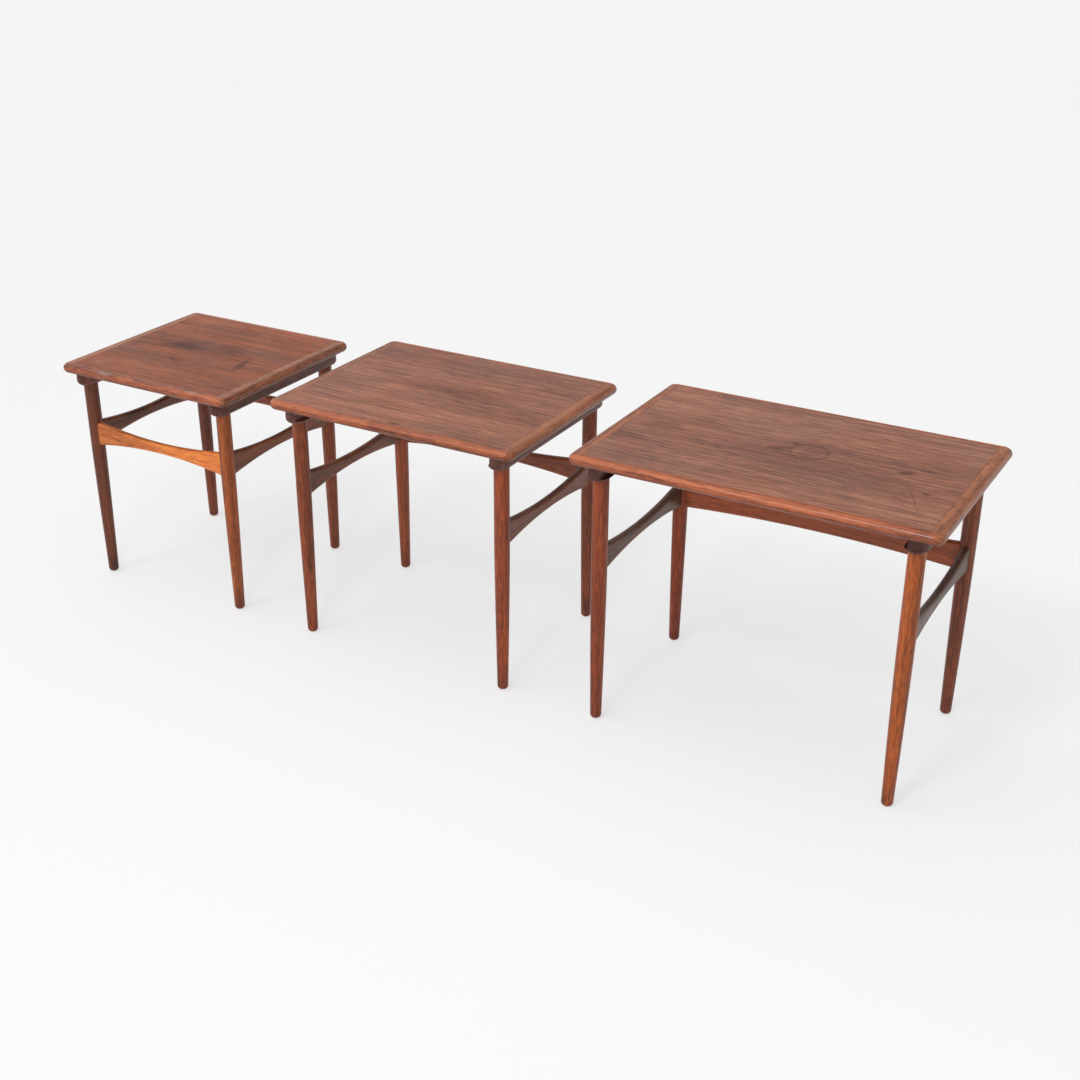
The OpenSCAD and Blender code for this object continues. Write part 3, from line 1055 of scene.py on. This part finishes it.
def lipping_material(table, edge):
    """One material for the two long lippings of a table and one for its two end lippings."""
    axis = 0 if edge in ("front", "back") else 1
    key = f"teak_lipping_{table}_{'long' if axis == 0 else 'end'}"
    if key not in lipping_finish:
        lipping_finish[key] = teak(
            key,
            axis,
            **LIPPING[axis],
            seed=len(lipping_finish) * 2.9 + 0.6,
            heart=(0.30, 0.36) if axis == 0 else (-0.9, 0.3),
            ring=0.0032,
            figure=0.004,
            flecks=2.2,
            rough=0.30,
            patina=0.25,
            marks=LIPPING_MARKS.get(key, ()),
            polish=0.10,
            # painted shade on the lippings' undersides
            painted_shade_below=0.8,
        )
    return lipping_finish[key]


RUNNER = dict(light=lin(118, 76, 60), mid=lin(96, 60, 48), dark=lin(66, 42, 36))
RUNNER_TONES = {
    "large": (0.72, 0.58, 0.56),
    "medium": (1.2, 1.12, 1.25),
    "small": (1.0, 0.82, 0.82),
}
runner_material = {
    name: teak(
        f"teak_runner_{name}",
        1,
        **toned(RUNNER, RUNNER_TONES[name]),
        seed=3.3 + i,
        heart=(-1.2, 0.2),
        ring=0.0035,
        figure=0.004,
        rough=0.48,
    )
    for i, name in enumerate(TABLES)
}

LEG = dict(light=lin(150, 84, 44), mid=lin(124, 66, 33), dark=lin(86, 44, 22), streak=0.6)
LEG_TONES = {
    ("large", "front", "left"): (1.06, 0.67, 0.45),
    ("large", "front", "right"): (1.66, 1.33, 0.64),
    ("large", "back", "left"): (1.06, 0.61, 0.33),
    ("large", "back", "right"): (0.95, 0.745, 0.75),
    ("medium", "front", "left"): (1.19, 0.85, 0.62),
    ("medium", "front", "right"): (1.31, 0.86, 0.68),
    ("medium", "back", "left"): (1.10, 0.82, 0.75),
    ("medium", "back", "right"): (0.90, 0.68, 0.65),
    ("small", "front", "left"): (0.58, 0.49, 0.55),
    ("small", "front", "right"): (1.25, 1.04, 0.66),
    ("small", "back", "left"): (0.80, 0.62, 0.65),
    ("small", "back", "right"): (1.00, 0.78, 0.75),
}


def leg_material(table, end, side):
    t = tables[table]
    s = -1 if side == "left" else 1
    e = -1 if end == "front" else 1
    seed = 0.7 * TABLES.index(table)
    seed = seed + (2.1 if side == "left" else 0) + (1.3 if end == "front" else 0)
    return teak(
        f"teak_leg_{table}_{end}_{side}",
        2,
        **toned(LEG, LEG_TONES[table, end, side]),
        seed=seed,
        heart=(t.x + s * t.leg_x + 0.11 * s, e * t.leg_y + 0.09),
        ring=0.0034,
        figure=0.004,
        rough=0.38,
        patina=0.3,
        foot_dirt=True,
    )


BAR = dict(light=lin(118, 76, 54), mid=lin(93, 58, 42), dark=lin(62, 39, 30), streak=0.7)
RAIL = dict(light=lin(160, 82, 46), mid=lin(134, 65, 35), dark=lin(94, 46, 26), streak=0.6)
GOLD = dict(light=lin(226, 136, 62), mid=lin(202, 109, 45), dark=lin(152, 76, 30), streak=0.55)
BAR_TONES = {
    "large": (0.88, 0.92, 0.88),
    "medium": (1.35, 1.05, 0.80),
    "small": (1.35, 1.00, 0.70),
}
stretcher_material = {}
for i, name in enumerate(TABLES):
    for side, s in SIDES:
        stretcher_material[f"{name}_{side}_stretcher"] = teak(
            f"teak_bar_{name}_{side}",
            1,
            **toned(BAR, BAR_TONES[name]),
            seed=6.1 + i + 0.4 * s,
            heart=(tables[name].x + s * 0.1, 0.36),
            ring=0.0036,
            figure=0.005,
            rough=0.40,
        )
    stretcher_material[f"{name}_back_stretcher"] = teak(
        f"teak_rail_{name}",
        0,
        **RAIL,
        seed=2.2 + 1.7 * i,
        heart=(0.05, 0.33),
        ring=0.0038,
        figure=0.007,
        rough=0.38,
    )
shaded_end = dict(
    at=(tables["small"].x - 0.11, -0.157, 0.36),
    size=(0.13, 0.13),
    strength=0.8,
    tint=SHADE,
    ragged=0.4,
)
stretcher_material["small_front_stretcher"] = teak(
    "teak_rail_small_front",
    0,
    **GOLD,
    seed=8.8,
    heart=(-0.3, 0.34),
    ring=0.0036,
    figure=0.006,
    rough=0.36,
    patina=0.15,
    marks=(shaded_end,),
)

BACKING = dict(light=lin(126, 82, 62), mid=lin(104, 66, 50), dark=lin(76, 48, 38))
BOARD = dict(light=lin(214, 178, 130), mid=lin(198, 158, 108), dark=lin(168, 124, 80))
backing = teak("teak_backing", 0, **BACKING, seed=4.4, heart=(0.1, 0.9), rough=0.55)
board = teak("softwood_board", 0, **BOARD, seed=0.9, heart=(0, 0.3), rough=0.6)
screw_steel = steel("screw_steel")


# ---------------------------------------------------------------- the tables

for name, t in tables.items():
    for edge in ("front", "back", "left", "right"):
        lipping(t, edge)
    face_veneer(t)
    for side_name, side in SIDES:
        runner(t, side_name, side)
        for end_name, end in ENDS:
            leg(t, end_name, end, side_name, side)
        stretcher(
            t,
            f"{name}_{side_name}_stretcher",
            (t.x + side * t.leg_x, 0, stretcher_mid(t)),
            2 * t.leg_y,
            SIDE_WAIST,
            1,
        )
    waist = RAIL_WAIST if name == "large" else SIDE_WAIST
    crossings = [("back", 1)] + ([("front", -1)] if name == "small" else [])
    for end_name, end in crossings:
        stretcher(
            t,
            f"{name}_{end_name}_stretcher",
            (t.x, end * t.leg_y, stretcher_mid(t)),
            2 * t.leg_x,
            waist,
            0,
        )
    for node, material in (
        (f"{name}_under_veneer", backing),
        (f"{name}_core", board),
        (f"{name}_screws", screw_steel),
    ):
        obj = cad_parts[node]
        obj.data.materials.clear()
        obj.data.materials.append(material)


# ---------------------------------------------------------------- studio


def studio_white(name, grey, glow):
    """Matt white that also glows, as if lit through from below, so that shadows stay faint."""
    material = bpy.data.materials.new(name)
    n = Nodes(material)
    shader = n.add("ShaderNodeBsdfPrincipled")
    shader.inputs["Base Color"].default_value = (grey, grey, grey, 1)
    shader.inputs["Emission Color"].default_value = (1, 1, 1, 1)
    shader.inputs["Emission Strength"].default_value = glow
    shader.inputs["Roughness"].default_value = 0.9
    shader.inputs["Specular IOR Level"].default_value = 0.1
    output = n.add("ShaderNodeOutputMaterial")
    n.put(output.inputs[0], shader.outputs[0])
    return material


FLOOR_RINGS = ((22, 0), (24, 0.15), (26, 0.7), (28, 2.0), (29.5, 4.2), (30, 7.0))


def floor():
    """Pale floor of rings (radius, rise) whose rim turns up, so that no horizon shows."""
    bm = bmesh.new()
    around = 96
    turns = [math.tau * k / around for k in range(around)]
    rings = [
        [bm.verts.new((radius * math.cos(a), radius * math.sin(a), rise)) for a in turns]
        for radius, rise in FLOOR_RINGS
    ]
    bm.faces.new(rings[0])
    for inner, outer in zip(rings, rings[1:]):
        bridge(bm, inner, outer)
    bmesh.ops.recalc_face_normals(bm, faces=bm.faces)
    obj = linked("floor", bm)
    obj.data.polygons.foreach_set("use_smooth", [True] * len(obj.data.polygons))
    obj.data.materials.append(studio_white("floor_white", 0.35, 0.56))


def area_light(name, at, target, size, power):
    """Square light, with its side in metres and its power in watts."""
    data = bpy.data.lights.new(name, "AREA")
    data.shape = "SQUARE"
    data.size = size
    data.energy = power
    obj = bpy.data.objects.new(name, data)
    obj.location = at
    obj.rotation_euler = (Vector(target) - Vector(at)).to_track_quat("-Z", "Y").to_euler()
    bpy.context.scene.collection.objects.link(obj)


floor()
area_light("key", (-1.7, -2.2, 2.5), (0.0, 0, 0.3), 0.6, 5)
area_light("fill", (0.35, -2.0, 2.6), (0.5, 0, 0.3), 0.45, 16)

sun = bpy.data.objects.new("sun", bpy.data.lights.new("sun", "SUN"))
sun.data.energy = 0.26
sun.data.angle = math.radians(14)
sun.rotation_euler = Vector((0.35, 1.0, -0.95)).to_track_quat("-Z", "Y").to_euler()
bpy.context.scene.collection.objects.link(sun)


def studio_world():
    """White surroundings, brightest from the front left and above, dim behind and on the right."""
    world = bpy.data.worlds.new("studio")
    bpy.context.scene.world = world
    n = Nodes(world)
    direction = n.add("ShaderNodeTexCoord").outputs["Generated"]
    facing = n.vector("DOT_PRODUCT", direction, (-0.555, -0.5, 0.666))
    background = n.add("ShaderNodeBackground")
    n.put(background.inputs["Strength"], n.remap(facing, 0.0, 0.9, 0.36, 1.75, smooth=False))
    output = n.add("ShaderNodeOutputWorld")
    n.put(output.inputs[0], background.outputs[0])


studio_world()

bpy.context.scene.view_settings.view_transform = "Standard"
bpy.context.scene.view_settings.look = "None"
